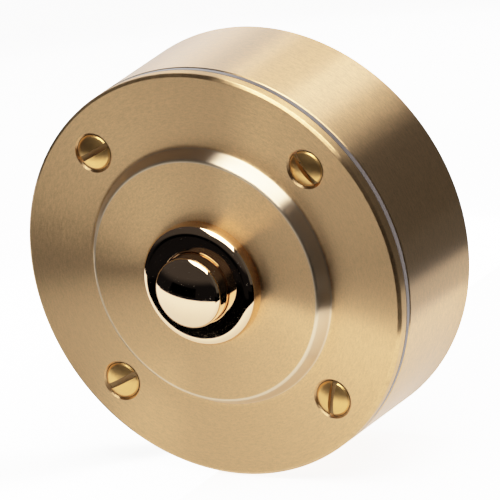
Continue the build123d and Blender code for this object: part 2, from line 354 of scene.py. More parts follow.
@dataclass(frozen=True)
class SatinBrass(Finish):
    """Lacquered brass, turned and brushed in circles, with a finer cut on slope and chamfer.

    The chamfer is where radius and level add up to more than chamfer_sum.
    """

    colour: Colour = (0.72, 0.435, 0.20)
    tones: Span = (0.86, 1.14)
    tone_weights: Numbers = (1.8, 0.4, 1.4, 0.2)
    roughness: float = 0.32
    roughness_swing: float = 0.06
    anisotropy: float = 1.0
    smear: float = 0.25
    lacquer: float = 0.15
    lacquer_roughness: float = 0.25
    fine_marks: Span = (3.2, 30.0)
    streak_marks: Span = (1.4, 4.0)
    grain_scale: float = 3.4
    cloud_scale: float = 0.09
    fine_share: float = 0.4
    mark_depth: float = 0.000004
    slope: Span = (23.5, 25.6)
    slope_fade: Span = (0.7, 1.1)
    slope_foot: Span = (27.2, 26.6)
    slope_roughness: float = 0.29
    slope_colour: Colour = (0.80, 0.61, 0.40)
    edge_roughness: float = 0.28
    chamfer_sum: float = 66.81
    chamfer_fade: Span = (0.06, 0.2)

    def make(self) -> Material:
        """Build the material: fine concentric marks, longer streaks and a grain.

        Returns:
            The material.
        """
        graph = self.graph()
        turned = graph.turned(TurnAxis.BENCH)
        fine = graph.marks(turned, *self.fine_marks)
        streak = graph.marks(turned, *self.streak_marks)
        grain = graph.noise(graph.place(), self.grain_scale)
        cloud = graph.noise(graph.place(), self.cloud_scale)
        tone = graph.swing((fine, streak, grain, cloud), self.tone_weights)
        middle, reach = sum(self.slope) / 2, (self.slope[1] - self.slope[0]) / 2
        near, far = (reach ** 2 * share for share in self.slope_fade)
        beside = ((turned.radius - middle) ** 2.0).ramp(near, far)
        off_slope = beside.at_least(turned.level.ramp(*self.slope_foot))
        start, end = (self.chamfer_sum - fade for fade in self.chamfer_fade)
        brushing = off_slope.at_most((turned.radius + turned.level).ramp(start, end))
        roughness = self.slope_roughness + off_slope * (self.edge_roughness - self.slope_roughness)
        roughness = roughness + brushing * (self.roughness - self.edge_roughness)
        dark, light = (shade(self.colour, factor) for factor in self.tones)
        brushed = graph.mix((tone + 0.5).at_least(0.0).at_most(1.0), dark, light)
        height = fine * self.fine_share + grain * (1.0 - self.fine_share)
        return graph.surface({
            "Base Color": graph.mix(off_slope, self.slope_colour, brushed),
            "Metallic": 1.0,
            "Roughness": roughness + tone * brushing * self.roughness_swing,
            "Anisotropic": self.anisotropy,
            "Anisotropic Rotation": self.smear,
            "Coat Weight": self.lacquer,
            "Coat Roughness": self.lacquer_roughness,
            "Normal": graph.bump(height * brushing, self.mark_depth),
        })


@dataclass(frozen=True)
class PolishedBrass(Finish):
    """Brass polished to a mirror, with hairline marks and a few specks of dust."""

    colour: Colour = (0.93, 0.655, 0.40)
    tones: Span = (0.93, 1.05)
    tone_weights: Span = (0.2, 0.3)
    roughness: float = 0.045
    hair: Numbers = (12.0, 5.0, 3.0)
    hair_depth: float = 0.0000006
    haze: Span = (0.7, 3.0)
    haze_range: Span = (0.55, 0.85)
    haze_roughness: float = 0.06
    dust: Span = (6.0, 1.0)
    dust_range: Span = (0.755, 0.815)
    dust_weight: float = 0.6
    dust_colour: Colour = (0.75, 0.72, 0.66)
    dust_roughness: float = 0.5

    def make(self) -> Material:
        """Build the material.

        Returns:
            The material.
        """
        graph = self.graph()
        hair = graph.marks(graph.turned(TurnAxis.WALL), *self.hair)
        haze = graph.noise(graph.place(), *self.haze)
        speck = graph.noise(graph.place(), *self.dust).ramp(*self.dust_range) * self.dust_weight
        tone = graph.swing((hair, haze), self.tone_weights) + 0.5
        dark, light = (shade(self.colour, factor) for factor in self.tones)
        roughness = self.roughness + haze.ramp(*self.haze_range) * self.haze_roughness
        return graph.surface({
            "Base Color": graph.mix(speck, graph.mix(tone, dark, light), self.dust_colour),
            "Metallic": 1.0 - speck,
            "Roughness": roughness + speck * self.dust_roughness,
            "Normal": graph.bump(hair, self.hair_depth),
        })


@dataclass(frozen=True)
class ScrewBrass(Finish):
    """Yellow polished brass of the screws, with painted shade in the slot and in a ring round the
    head's rim.
    """

    colour: Colour = (0.91, 0.51, 0.165)
    tones: Span = (0.84, 1.06)
    tone_weights: Span = (0.5, 0.8)
    # Colours of the painted shade down in the slot and round the head's rim.
    slot_painted_shade: Colour = (0.28, 0.17, 0.065)
    rim_painted_shade: Colour = (0.06, 0.034, 0.01)
    roughness: float = 0.35
    wear: Numbers = (1.6, 4.0, 0.6)
    wear_roughness: float = 0.12
    brown_roughness: float = 0.25
    brown_dullness: float = 0.3
    slot: Span = (27.2, 26.9)
    slot_blur: float = 0.2
    place_aside: float = 22.84
    rings_per_mm: float = 2.6
    ring_rise: float = 0.3
    # Where the painted shade of the ring round the head's rim lies, from the screw's middle.
    rim: Span = (3.40, 3.56)
    rim_blur: float = 0.1
    edge: Span = (3.05, 3.55)
    edge_fall: float = 1.3
    relief: float = 0.0001

    def make(self) -> Material:
        """Build the material: turned rings, worn brass, a rim that is rounded off, and painted
        shade in slot and round the rim.

        Returns:
            The material.
        """
        graph = self.graph()
        turned = graph.turned(TurnAxis.WALL)
        wear = graph.noise(graph.place(), *self.wear)
        # Painted shade: the colour darkens down in the slot, where shade falls.
        depth = (turned.level + (wear - 0.5) * self.slot_blur).ramp(*self.slot)
        # Every screw stands as far aside as it stands up or down.
        across = (turned.radius * turned.cosine, turned.radius * turned.sine)
        aside, above = ((way * way) ** 0.5 - self.place_aside for way in across)
        from_middle = (aside * aside + above * above) ** 0.5
        rings = graph.noise(graph.vector(from_middle * self.rings_per_mm, 0.0, 0.0), 1.0)
        # Painted shade: a near-black ring round the head's rim stands in for the shaded gap to the
        # countersink.
        rim_shade_mask = (from_middle + (wear - 0.5) * self.rim_blur).ramp(*self.rim)
        # Where either painted shade lies, the brass is also duller and rougher.
        painted_shade_mask = depth.at_least(rim_shade_mask)
        tone = graph.swing((wear, rings), self.tone_weights) + 0.5
        dark, light = (shade(self.colour, factor) for factor in self.tones)
        slotted = graph.mix(depth, graph.mix(tone, dark, light), self.slot_painted_shade)
        worn = self.roughness + (wear - 0.5) * self.wear_roughness
        height = rings * self.ring_rise - from_middle.ramp(*self.edge) * self.edge_fall
        return graph.surface({
            "Base Color": graph.mix(rim_shade_mask, slotted, self.rim_painted_shade),
            "Metallic": 1.0 - painted_shade_mask * self.brown_dullness,
            "Roughness": worn + painted_shade_mask * self.brown_roughness,
            "Normal": graph.bump(height, self.relief),
        })


@dataclass(frozen=True)
class WorkedMetal(Finish):
    """Plain metal inside the drum, as turned, punched or drawn."""

    colour: Colour
    roughness: float = 0.34
    roughness_swing: float = 0.25
    dark_tone: float = 0.72
    fine: Numbers = (9.0, 6.0, 3.0)
    fine_weight: float = 0.5
    fine_depth: float = 0.000004
    tarnish: Numbers = (0.5, 4.0, 0.6)

    def make(self) -> Material:
        """Build the material.

        Returns:
            The material.
        """
        graph = self.graph()
        fine = graph.marks(graph.turned(TurnAxis.WALL), *self.fine)
        tarnish = graph.noise(graph.place(), *self.tarnish)
        tone = (fine - 0.5) * self.fine_weight + tarnish
        dark = shade(self.colour, self.dark_tone)
        return graph.surface({
            "Base Color": graph.mix(tone.at_most(1.0).at_least(0.0), dark, self.colour),
            "Metallic": 1.0,
            "Roughness": self.roughness + (tarnish - 0.5) * self.roughness_swing,
            "Normal": graph.bump(fine, self.fine_depth),
        })


@dataclass(frozen=True)
class Moulded(Finish):
    """Rubber, plastic or nylon with a fine moulded grain."""

    colour: Colour
    roughness: float = 0.55
    grain_depth: float = 0.000015
    roughness_swing: float = 0.2
    tones: Span = (0.8, 1.2)
    lift: float = 0.004
    grain: Numbers = (6.0, 3.0, 0.6)
    grain_share: float = 0.3
    patch: Span = (0.35, 3.0)

    def make(self) -> Material:
        """Build the material.

        Returns:
            The material.
        """
        graph = self.graph()
        grain = graph.noise(graph.place(), *self.grain)
        patch = graph.noise(graph.place(), *self.patch)
        tone = patch * (1.0 - self.grain_share) + grain * self.grain_share
        dark = shade(self.colour, self.tones[0])
        light = shade(self.colour, self.tones[1], self.lift)
        return graph.surface({
            "Base Color": graph.mix(tone, dark, light),
            "Roughness": self.roughness + (grain - 0.5) * self.roughness_swing,
            "Normal": graph.bump(grain, self.grain_depth),
        })


class Finishes:
    """Every finish of the bell push, made once."""

    def __init__(self) -> None:
        """Make the materials."""
        self.plate = SatinBrass("brushed_plate").make()
        self.drum = SatinBrass("brushed_drum", lacquer=0.75, chamfer_sum=63.37).make()
        self.polished = PolishedBrass("mirror_brass").make()
        self.screw = ScrewBrass("screw_head_brass").make()
        self.plain = WorkedMetal("turned_brass", (0.78, 0.57, 0.28)).make()
        self.steel = WorkedMetal("drawn_steel", (0.56, 0.56, 0.57), 0.28).make()
        self.silicone = Moulded("gasket_silicone", (0.1, 0.083, 0.079), 0.3, 0.000004).make()
        self.rubber = Moulded("matt_rubber", (0.035, 0.034, 0.033), 0.7).make()
        self.moulding = Moulded("grained_moulding", (0.05, 0.05, 0.054), 0.45).make()
        self.nylon = Moulded("turned_nylon", (0.80, 0.77, 0.69), 0.5).make()


def rounded(corners: list[Numbers], steps: int = 8) -> Outline:
    """Outline with its rounded corners drawn as arcs.

    Args:
        corners: (radius, level) or (radius, level, round) in order.
        steps: points along each arc.
    Returns:
        The outline's points.
    """
    points: list[Vector] = []
    count = len(corners)
    for index, corner in enumerate(corners):
        here = Vector(corner[:2])
        if len(corner) == 2:
            points.append(here)
            continue
        size = corner[2]
        before = (Vector(corners[index - 1][:2]) - here).normalized()
        after = (Vector(corners[(index + 1) % count][:2]) - here).normalized()
        half = before.angle(after) / 2
        reach = size / math.tan(half)
        centre = here + (before + after).normalized() * (size / math.sin(half))
        start, end = here + before * reach - centre, here + after * reach - centre
        sweep = start.angle_signed(end)
        points.append(here + before * (reach + size * ARC_LEAD))
        for step in range(steps + 1):
            turned = start.copy()
            turned.rotate(Matrix.Rotation(-sweep * step / steps, 2))
            points.append(centre + turned)
        points.append(here + after * (reach + size * ARC_LEAD))
    return [(point.x, point.y) for point in points]


def stairs(radii: Numbers, levels: Numbers) -> Outline:
    """Section with square steps, where each level runs from one radius to the next."""
    pairs = zip(radii, radii[1:])
    return [(radius, level) for pair, level in zip(pairs, levels) for radius in pair]


def four_round() -> list[Span]:
    """Places of the four screws, to the right and up."""
    angles = (math.radians(45 + 90 * index) for index in range(4))
    return [(SCREW_CIRCLE * math.cos(a), SCREW_CIRCLE * math.sin(a)) for a in angles]


def finished_mesh(name: str, work: bmesh.types.BMesh) -> Mesh:
    """Turn all faces outwards and keep the work as a mesh.

    Args:
        name: the mesh's name.
        work: the work, which is freed.
    Returns:
        The mesh.
    """
    bmesh.ops.recalc_face_normals(work, faces=work.faces)
    mesh = bpy.data.meshes.new(name)
    work.to_mesh(mesh)
    work.free()
    return mesh


def add_object(name: str, mesh: Mesh, matrix: Matrix) -> Piece:
    """Put a mesh into the scene.

    Args:
        name: the object's name.
        mesh: its mesh.
        matrix: its place.
    Returns:
        The object.
    """
    piece = bpy.data.objects.new(name, mesh)
    bpy.context.scene.collection.objects.link(piece)
    piece.matrix_world = matrix
    return piece


def lathe(
    name: str, outline: Outline, segments: int, place: Span = (0.0, 0.0), skew: float = 0.0
) -> Piece:
    """Closed outline turned about local Z, in the scene and square to the wall.

    Args:
        name: the object's name.
        outline: (radius, level) points in order.
        segments: steps round the circle.
        place: where its axis stands, in millimetres to the right and up.
        skew: turn about its own axis in degrees, which keeps facets of two solids out of line.
    Returns:
        The object.
    """
    work = bmesh.new()
    rings: list[list[bmesh.types.BMVert]] = []
    for radius, level in outline:
        if radius < ON_AXIS:
            rings.append([work.verts.new((0.0, 0.0, level * MM))])
            continue
        angles = (2 * math.pi * step / segments for step in range(segments))
        rings.append([
            work.verts.new((radius * MM * math.cos(a), radius * MM * math.sin(a), level * MM))
            for a in angles
        ])
    for low, high in zip(rings, rings[1:] + rings[:1]):
        for step in range(segments):
            after = (step + 1) % segments
            face = [
                low[step % len(low)], low[after % len(low)],
                high[after % len(high)], high[step % len(high)],
            ]
            corners = list(dict.fromkeys(face))
            if len(corners) > 2:
                work.faces.new(corners)
    stand = Matrix.Translation((place[0] * MM, place[1] * MM, 0.0))
    matrix = TO_WALL @ stand @ Matrix.Rotation(math.radians(skew), 4, "Z")
    return add_object(name, finished_mesh(name, work), matrix)


def smooth(mesh: Mesh, sharp_above: float = 28.0) -> None:
    """Shade a mesh smooth, with sharp edges above an angle in degrees."""
    mesh.shade_smooth()
    mesh.set_sharp_from_angle(angle=math.radians(sharp_above))


def combine(piece: Piece, solids: list[Piece], how: Joining) -> None:
    """Cut solids out of a piece or add them to it, and keep the result as its mesh.

    Args:
        piece: the piece.
        solids: closed solids, which are removed afterwards.
        how: whether they are cut out or added.
    """
    if not solids:
        return
    for solid in solids:
        step = piece.modifiers.new(solid.name, "BOOLEAN")
        step.object = solid
        step.operation = how.value
        step.solver = "EXACT"
    bpy.context.view_layer.update()
    graph = bpy.context.evaluated_depsgraph_get()
    old = piece.data
    made = bpy.data.meshes.new_from_object(piece.evaluated_get(graph))
    piece.modifiers.clear()
    piece.data = made
    bpy.data.meshes.remove(old)
    for solid in solids:
        mesh = solid.data
        bpy.data.objects.remove(solid)
        bpy.data.meshes.remove(mesh)


def place_on(piece: Piece, body: Body, node: str, material: Material) -> None:
    """Dress a new piece, ride it on its body and let it stand for its CAD node.

    Args:
        piece: the piece, in place.
        body: what it moves with.
        node: the CAD node that it stands for.
        material: its finish.
    """
    piece.data.materials.clear()
    piece.data.materials.append(material)
    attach(piece, body.value)
    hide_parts(node)
    faces = len(piece.data.polygons)
    LOG.info("%s stands for %s: %d faces, %s", piece.name, node, faces, material.name)


def dress(node: str, material: Material) -> Piece:
    """Give a CAD node its finish.

    Args:
        node: the node's name.
        material: its finish.
    Returns:
        The node's object.
    """
    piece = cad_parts[node]
    piece.data.materials.clear()
    piece.data.materials.append(material)
    LOG.info("%s keeps its CAD shape: %d faces, %s", node, len(piece.data.polygons), material.name)
    return piece


@dataclass
class TurnedPiece:
    """What turned pieces share: each is made from its section, its holes and its pillars."""

    name: str
    node: str
    slot: str
    segments: int
    body: Body = Body.FIXED

    def outline(self) -> Outline:
        """Section of the piece."""
        raise NotImplementedError

    def cutters(self) -> list[Piece]:
        """Solids that are cut out of it."""
        return []

    def pillars(self) -> list[Piece]:
        """Solids that are added to it."""
        return []

    def make(self, material: Material) -> Piece:
        """Make the piece, which stands for its CAD node.

        Args:
            material: its finish.
        Returns:
            The piece.
        """
        piece = lathe(self.name, self.outline(), self.segments)
        for solids, how in ((self.cutters, Joining.CUT), (self.pillars, Joining.ADD)):
            combine(piece, solids(), how)
        smooth(piece.data)
        place_on(piece, self.body, self.node, material)
        return piece


@dataclass
class Cover(TurnedPiece):
    """Turned front plate with its raised centre and countersunk screws."""

    name: str = "front_plate_turned"
    node: str = "front_plate"
    slot: str = "satin_brass"
    segments: int = 360
    radius: float = RADIUS
    back: float = PLATE_BACK
    face: float = 27.4
    top: float = PLATEAU
    foot_radius: float = 25.55
    top_radius: float = 24.0
    hole_radius: float = 10.15
    back_chamfer: float = 0.3
    edge_chamfer: float = 0.58
    edge_round: float = 0.5
    face_round: float = 0.3
    foot_round: float = 1.0
    top_round: float = 0.7
    countersink_radius: float = 3.95
    past: float = 1.0
    hole_segments: int = 96

    def outline(self) -> Outline:
        """Section of the plate."""
        return rounded([
            (self.hole_radius, self.back), (self.radius - self.back_chamfer, self.back),
            (self.radius, self.back + self.back_chamfer),
            (self.radius, self.face - self.edge_chamfer, self.edge_round),
            (self.radius - self.edge_chamfer, self.face, self.face_round),
            (self.foot_radius, self.face, self.foot_round),
            (self.top_radius, self.top, self.top_round), (self.hole_radius, self.top),
        ])

    def cutters(self) -> list[Piece]:
        """Cutters of the four countersunk holes.

        Returns:
            The cutters.
        """
        flare = self.countersink_radius - SCREW_HOLE_RADIUS
        low, high = self.back - self.past, self.face + self.past
        section = [
            (0.0, low), (SCREW_HOLE_RADIUS, low), (SCREW_HOLE_RADIUS, self.face - flare),
            (self.countersink_radius + self.past, high), (0.0, high),
        ]
        return [lathe("countersink", section, self.hole_segments, at) for at in four_round()]

    def build(self, finishes: Finishes) -> tuple[Piece, Piece]:
        """Make the plate, dress the screws and return both."""
        return self.make(finishes.plate), dress("cover_screws", finishes.screw)


@dataclass
class Gasket(TurnedPiece):
    """Flat ring between plate and drum, trimmed just short of their edge."""

    name: str = "gasket_ring"
    node: str = "cover_gasket"
    slot: str = "grey_silicone"
    segments: int = 240
    inner_radius: float = 27.0
    radius: float = 39.93
    back: float = DRUM_DEPTH
    front: float = PLATE_BACK
    hole_segments: int = 48

    def outline(self) -> Outline:
        """Section of the ring."""
        return stairs((self.inner_radius, self.radius, self.inner_radius), (self.back, self.front))

    def cutters(self) -> list[Piece]:
        """Cutters of the four screw holes."""
        hole = stairs((0.0, SCREW_HOLE_RADIUS, 0.0), (self.back - PAST, self.front + PAST))
        return [lathe("screw_hole", hole, self.hole_segments, at) for at in four_round()]


@dataclass
class Drum(TurnedPiece):
    """Drum behind the plate, with pillars, wall holes, cable entry and the gasket on its rim."""

    name: str = "drum_turned"
    node: str = "housing"
    slot: str = "satin_brass"
    segments: int = 360
    radius: float = RADIUS
    depth: float = DRUM_DEPTH
    wall: float = 3.0
    back_wall: float = 3.0
    back_round: float = 0.6
    front_chamfer: float = 0.42
    gasket: Gasket = field(default_factory=Gasket)
    pillar_radius: float = 5.0
    pillar_drop: float = 0.05
    tapped_radius: float = 2.05
    tapped_bottom: float = 12.4
    wall_hole_place: float = 22.0
    wall_hole_radius: float = 2.25
    entry_drop: float = 20.0
    entry_radius: float = 5.05
    entry_lip_radius: float = 6.7
    entry_lip_depth: float = 1.25
    skew: float = 1.3
    hole_segments: int = 72
    pillar_segments: int = 48

    def outline(self) -> Outline:
        """Section of the drum's wall and back."""
        inner = self.radius - self.wall
        return rounded([
            (0.0, 0.0), (self.radius, 0.0, self.back_round),
            (self.radius, self.depth - self.front_chamfer),
            (self.radius - self.front_chamfer, self.depth), (inner, self.depth),
            (inner, self.back_wall), (0.0, self.back_wall),
        ])

    def cutters(self) -> list[Piece]:
        """Cutters of the two wall holes and the stepped cable entry.

        Returns:
            The cutters.
        """
        through = self.back_wall + PAST
        wall_hole = stairs((0.0, self.wall_hole_radius, 0.0), (-PAST, through))
        entry_radii = (0.0, self.entry_lip_radius, self.entry_radius, 0.0)
        entry = stairs(entry_radii, (-PAST, self.entry_lip_depth, through))
        holes = (
            (wall_hole, (-self.wall_hole_place, 0.0)), (wall_hole, (self.wall_hole_place, 0.0)),
            (entry, (0.0, -self.entry_drop)),
        )
        return [
            lathe("hole", section, self.hole_segments, at, self.skew) for section, at in holes
        ]

    def pillars(self) -> list[Piece]:
        """Four tapped pillars, with their feet sunk into the back wall.

        Returns:
            The pillars.
        """
        levels = (self.back_wall - PAST, self.depth - self.pillar_drop, self.tapped_bottom)
        section = stairs((0.0, self.pillar_radius, self.tapped_radius, 0.0), levels)
        return [
            lathe("pillar", section, self.pillar_segments, at, self.skew) for at in four_round()
        ]

    def build(self, finishes: Finishes) -> tuple[Piece, Piece]:
        """Dress the grommet, make drum and gasket and return both."""
        dress("cable_grommet", finishes.rubber)
        return self.make(finishes.drum), self.gasket.make(finishes.silicone)


@dataclass
class ReturnSpring:
    """Compression spring between switch base and collar."""

    low: float = BASE_FRONT
    high: float = COLLAR_BACK
    mean_radius: float = 7.3
    wire_radius: float = 0.4
    turns: float = 4.0
    closed_turns: float = 0.5
    ease: float = 0.35
    travel: float = 2.0
    steps_per_turn: int = 48
    wire_steps: int = 12
    sharp_above: float = 60.0

    def level(self, share: float) -> float:
        """Level of the wire's middle, with a closed coil at each end.

        Args:
            share: way along the wire, 0 to 1.
        Returns:
            Level in millimetres.
        """
        low, high = self.low + self.wire_radius, self.high - self.wire_radius
        closed = self.closed_turns / self.turns
        inner = min(1.0, max(0.0, (share - closed) / (1 - 2 * closed)))
        eased = inner * inner * (3 - 2 * inner) * self.ease + inner * (1 - self.ease)
        return low + (high - low) * eased

    def mesh(self) -> Mesh:
        """Tube along the coil with closed ends.

        Returns:
            The mesh.
        """
        work = bmesh.new()
        rings = []
        count = int(self.turns * self.steps_per_turn)
        for index in range(count + 1):
            share = index / count
            angle = 2 * math.pi * self.turns * share
            outward = Vector((math.cos(angle), math.sin(angle), 0.0))
            middle = outward * self.mean_radius + Vector((0.0, 0.0, self.level(share)))
            ring = []
            for step in range(self.wire_steps):
                tilt = 2 * math.pi * step / self.wire_steps
                offset = outward * math.cos(tilt) + Vector((0.0, 0.0, math.sin(tilt)))
                ring.append(work.verts.new((middle + offset * self.wire_radius) * MM))
            rings.append(ring)
        for low, high in zip(rings, rings[1:]):
            for step in range(self.wire_steps):
                after = (step + 1) % self.wire_steps
                work.faces.new((low[step], low[after], high[after], high[step]))
        work.faces.new(rings[0])
        work.faces.new(rings[-1])
        mesh = finished_mesh("return_spring_coil", work)
        mesh.transform(TO_WALL)
        return mesh

    def build(self, steel: Material) -> None:
        """Make the spring, which stays fixed in place.

        Args:
            steel: the spring's finish.
        """
        spring = add_object("return_spring_coil", self.mesh(), Matrix.Identity(4))
        smooth(spring.data, self.sharp_above)
        place_on(spring, Body.FIXED, "return_spring", steel)
        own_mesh(spring)


@dataclass
class Bezel(TurnedPiece):
    """Polished flange round the button, in one piece with its barrel."""

    name: str = "bezel_turned"
    node: str = "button_bezel"
    slot: str = "polished_brass"
    segments: int = 288
    radius: float = 11.99
    face: float = 33.8
    edge_round: float = 1.75
    plateau: float = PLATEAU
    bore_radius: float = 7.0
    bore_round: float = 0.35
    shoulder: float = SHOULDER
    chamber_radius: float = 8.2
    seat_radius: float = 8.8
    seat_level: float = BASE_FRONT
    groove_radius: float = 9.25
    groove_low: float = 15.35
    groove_high: float = 16.45
    barrel_radius: float = 10.0
    barrel_end: float = 14.4
    barrel_chamfer: float = 0.5
    seal_inner: float = 10.45
    seal_outer: float = 11.55
    seal_top: float = 31.2
    round_steps: int = 24

    def outline(self) -> Outline:
        """Section of flange and barrel.

        Returns:
            The outline's points.
        """
        under_flange = stairs(
            (self.radius, self.seal_outer, self.seal_inner, self.barrel_radius),
            (self.plateau, self.seal_top, self.plateau),
        )
        inside = stairs(
            (self.barrel_radius - self.barrel_chamfer, self.seat_radius, self.groove_radius,
             self.seat_radius, self.chamber_radius, self.bore_radius),
            (self.barrel_end, self.groove_low, self.groove_high, self.seat_level, self.shoulder),
        )
        return rounded([
            (self.bore_radius, self.face, self.bore_round),
            (self.radius, self.face, self.edge_round), *under_flange,
            (self.barrel_radius, self.barrel_end + self.barrel_chamfer), *inside,
        ], self.round_steps)


@dataclass
class Button(TurnedPiece):
    """Polished domed button with its seal groove, collar and stem."""

    name: str = "button_turned"
    node: str = "button_cap"
    slot: str = "polished_brass"
    segments: int = 288
    body: Body = Body.PLUNGER
    radius: float = 6.93
    edge: float = 37.2
    dome_height: float = 2.2
    edge_round: float = 1.4
    groove_radius: float = 6.03
    groove_high: float = 33.1
    groove_low: float = 32.1
    shoulder: float = SHOULDER
    collar_radius: float = 7.9
    collar_back: float = COLLAR_BACK
    stem_radius: float = 2.5
    stem_step: float = 23.85
    spigot_radius: float = 1.8
    clip_radius: float = 1.35
    clip_high: float = 21.65
    clip_low: float = 21.05
    stem_end: float = 20.55
    dome_steps: int = 48
    edge_steps: int = 24

    def crown(self) -> Outline:
        """Dome from its middle to its rounded edge.

        Returns:
            The dome's points.
        """
        sphere = (self.radius ** 2 + self.dome_height ** 2) / (2 * self.dome_height)
        centre = self.edge + self.dome_height - sphere
        corner = self.radius - self.edge_round
        corner_level = centre + math.sqrt((sphere - self.edge_round) ** 2 - corner ** 2)
        join = math.atan2(corner, corner_level - centre)
        rest = math.pi / 2 - join
        dome = [join * step / self.dome_steps for step in range(self.dome_steps + 1)]
        edge = [join + rest * step / self.edge_steps for step in range(1, self.edge_steps + 1)]
        arcs = ((0.0, centre, sphere, dome), (corner, corner_level, self.edge_round, edge))
        return [
            (radius + size * math.sin(angle), level + size * math.cos(angle))
            for radius, level, size, angles in arcs for angle in angles
        ]

    def outline(self) -> Outline:
        """Section of the button, from the dome's middle round to the stem's end.

        Returns:
            The outline's points.
        """
        radii = (
            self.radius, self.groove_radius, self.radius, self.collar_radius, self.stem_radius,
            self.spigot_radius, self.clip_radius, self.spigot_radius, 0.0,
        )
        levels = (
            self.groove_high, self.groove_low, self.shoulder, self.collar_back, self.stem_step,
            self.clip_high, self.clip_low, self.stem_end,
        )
        return self.crown() + stairs(radii, levels)


@dataclass
class Switch:
    """Bezel with its fixings, the sprung button and the contacts behind it."""

    bezel: Bezel = field(default_factory=Bezel)
    button: Button = field(default_factory=Button)
    spring: ReturnSpring = field(default_factory=ReturnSpring)
    brass: tuple[str, ...] = (
        "lock_nut", "contact_disc", "contact_left", "contact_right", "terminal_clamps",
        "terminal_screws",
    )
    steel: tuple[str, ...] = ("lock_washer", "retaining_clip", "snap_ring")
    rubber: tuple[str, ...] = ("bezel_seal", "plunger_seal")
    nylon: tuple[str, ...] = ("insulating_bush", "insulating_washer")
    moulding: tuple[str, ...] = ("switch_base",)

    def build(self, finishes: Finishes) -> tuple[Piece, Piece]:
        """Make bezel, button and spring, and dress every other piece of the switch.

        Args:
            finishes: the finishes to use.
        Returns:
            The bezel and the button.
        """
        bezel = self.bezel.make(finishes.polished)
        button = self.button.make(finishes.polished)
        self.spring.build(finishes.steel)
        for nodes, material in (
            (self.brass, finishes.plain), (self.steel, finishes.steel),
            (self.rubber, finishes.rubber), (self.nylon, finishes.nylon),
            (self.moulding, finishes.moulding),
        ):
            for node in nodes:
                dress(node, material)
        return bezel, button


@dataclass(frozen=True)
class Card:
    """Flat light panel round the object, which only reflections and light see."""

    name: str
    corners: Corners
    strength: float
    seen_by: SeenBy = SeenBy.ALL
    middle_share: float = 1.0
    fade: Span = (30.0, 105.0)

    def material(self) -> Material:
        """Glow of the panel, dimmer about the picture's upright axis if it has a middle share.

        Returns:
            The material.
        """
        graph = Graph(bpy.data.materials.new(self.name))
        glow: Term = WHITE
        if self.middle_share < 1.0:
            near_edge = graph.turned(TurnAxis.BENCH).radius.ramp(*self.fade)
            glow = graph.mix(near_edge, (self.middle_share,) * 3, WHITE)
        return graph.surface({
            "Base Color": BLACK,
            "Specular IOR Level": 0.0,
            "Emission Color": glow,
            "Emission Strength": self.strength,
        })

    def build(self, roll: Matrix, groups: dict[SeenBy, bpy.types.Collection]) -> None:
        """Put the panel up.

        Args:
            roll: turn from the picture's frame to the CAD frame.
            groups: the pieces that see a panel which isn't for all.
        """
        mesh = bpy.data.meshes.new(self.name)
        points = [Vector(corner) * MM for corner in self.corners]
        mesh.from_pydata(points, [], [tuple(range(len(points)))])
        mesh.materials.append(self.material())
        panel = add_object(self.name, mesh, roll)
        panel.visible_camera = False
        panel.visible_shadow = False
        if self.seen_by in groups:
            panel.light_linking.receiver_collection = groups[self.seen_by]


def level_card(x: Span, y: Span, z: float) -> Corners:
    """Corners of a level panel."""
    return ((x[0], y[0], z), (x[1], y[0], z), (x[1], y[1], z), (x[0], y[1], z))


def back_card(x: Span, y: float, z: Span) -> Corners:
    """Corners of an upright panel across the picture."""
    return ((x[0], y, z[0]), (x[1], y, z[0]), (x[1], y, z[1]), (x[0], y, z[1]))


def side_card(x: float, y: Span, z: Span) -> Corners:
    """Corners of an upright panel along the picture's depth."""
    return ((x, y[0], z[0]), (x, y[1], z[0]), (x, y[1], z[1]), (x, y[0], z[1]))


def ring_card(radii: Span, degrees: Span) -> Corners:
    """Corners of a part of the round table below the object.

    Args:
        radii: inner and outer radius about the table's middle.
        degrees: start and end, from the right towards the back.
    Returns:
        The corners.
    """
    (x, y), (start, end) = TABLE_MIDDLE, degrees
    shares = (step / TABLE_STEPS for step in range(TABLE_STEPS + 1))
    angles = [math.radians(start + (end - start) * share) for share in shares]
    inner, outer = (
        [(x + radius * math.cos(a), y + radius * math.sin(a), TABLE_LEVEL) for a in angles]
        for radius in radii
    )
    back = inner[::-1]
    return tuple(outer + (back if radii[0] > 0 else back[:1]))


def table_card(name: str, radii: Span, degrees: Span, seen_by: SeenBy = SeenBy.ALL) -> Card:
    """Part of the table, dimmer in the object's shade."""
    return Card(name, ring_card(radii, degrees), TABLE_GLOW, seen_by, TABLE_MIDDLE_SHARE)


